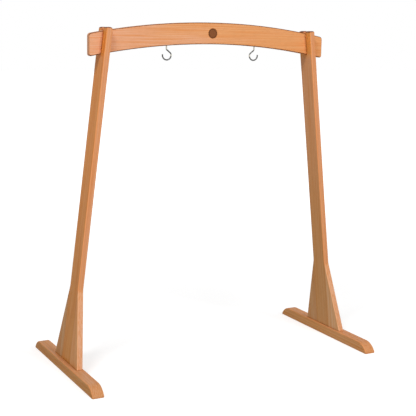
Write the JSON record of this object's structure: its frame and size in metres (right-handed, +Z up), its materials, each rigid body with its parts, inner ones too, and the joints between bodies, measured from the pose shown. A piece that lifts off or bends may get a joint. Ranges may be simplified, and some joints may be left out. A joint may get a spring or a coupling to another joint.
{
  "type": "gong stand",
  "caption": "Free-standing wooden gong frame: an arched crossbar with open screw hooks, held in the forked tops of leaning legs on long feet.",
  "frame": {"origin": "on the floor, midway between the two feet and midway between their front and back ends", "axes": "+X along the crossbar to the right-hand leg, +Y from the front, which has the inlay, to the back, +Z up"},
  "size_m": [1.434, 0.745, 1.531],
  "materials": {
    "beech_crossbar": "steamed beech with a satin oil finish, grain along the crossbar",
    "beech_leg": "steamed beech with a satin oil finish, grain along the leg",
    "beech_foot": "steamed beech with a satin oil finish, grain along the foot",
    "dowel_beech": "plain unfinished beech dowel",
    "dark_inlay": "dark stained hardwood, satin",
    "brown_inlay": "brown hardwood, satin",
    "hook_steel": "bright zinc-plated steel wire",
    "screw_steel": "zinc-plated steel"
  },
  "bodies": {
    "left_leg": {"post_left": "beech_leg", "gusset_left_front": "beech_leg", "gusset_left_back": "beech_leg", "foot_left": "beech_foot", "dowel_left_centre": "dowel_beech", "dowel_left_front": "dowel_beech", "dowel_left_back": "dowel_beech", "screw_left_front": "screw_steel", "screw_left_back": "screw_steel"},
    "crossbar": {"crossbar": "beech_crossbar", "inlay_ring": "dark_inlay", "inlay_disc": "brown_inlay", "hook_left": "hook_steel", "hook_right": "hook_steel"},
    "right_leg": {"post_right": "beech_leg", "gusset_right_front": "beech_leg", "gusset_right_back": "beech_leg", "foot_right": "beech_foot", "dowel_right_centre": "dowel_beech", "dowel_right_front": "dowel_beech", "dowel_right_back": "dowel_beech", "screw_right_front": "screw_steel", "screw_right_back": "screw_steel"}
  },
  "joints": [
    {"name": "crossbar_lift", "type": "slide", "parent": "left_leg", "child": "crossbar", "axis": [0.1201, 0, 0.9928], "range_m": [0, 0.13]},
    {"name": "right_leg_pull", "type": "slide", "parent": "crossbar", "child": "right_leg", "axis": [0.1201, 0, -0.9928], "range_m": [0, 0.13]}
  ]
}
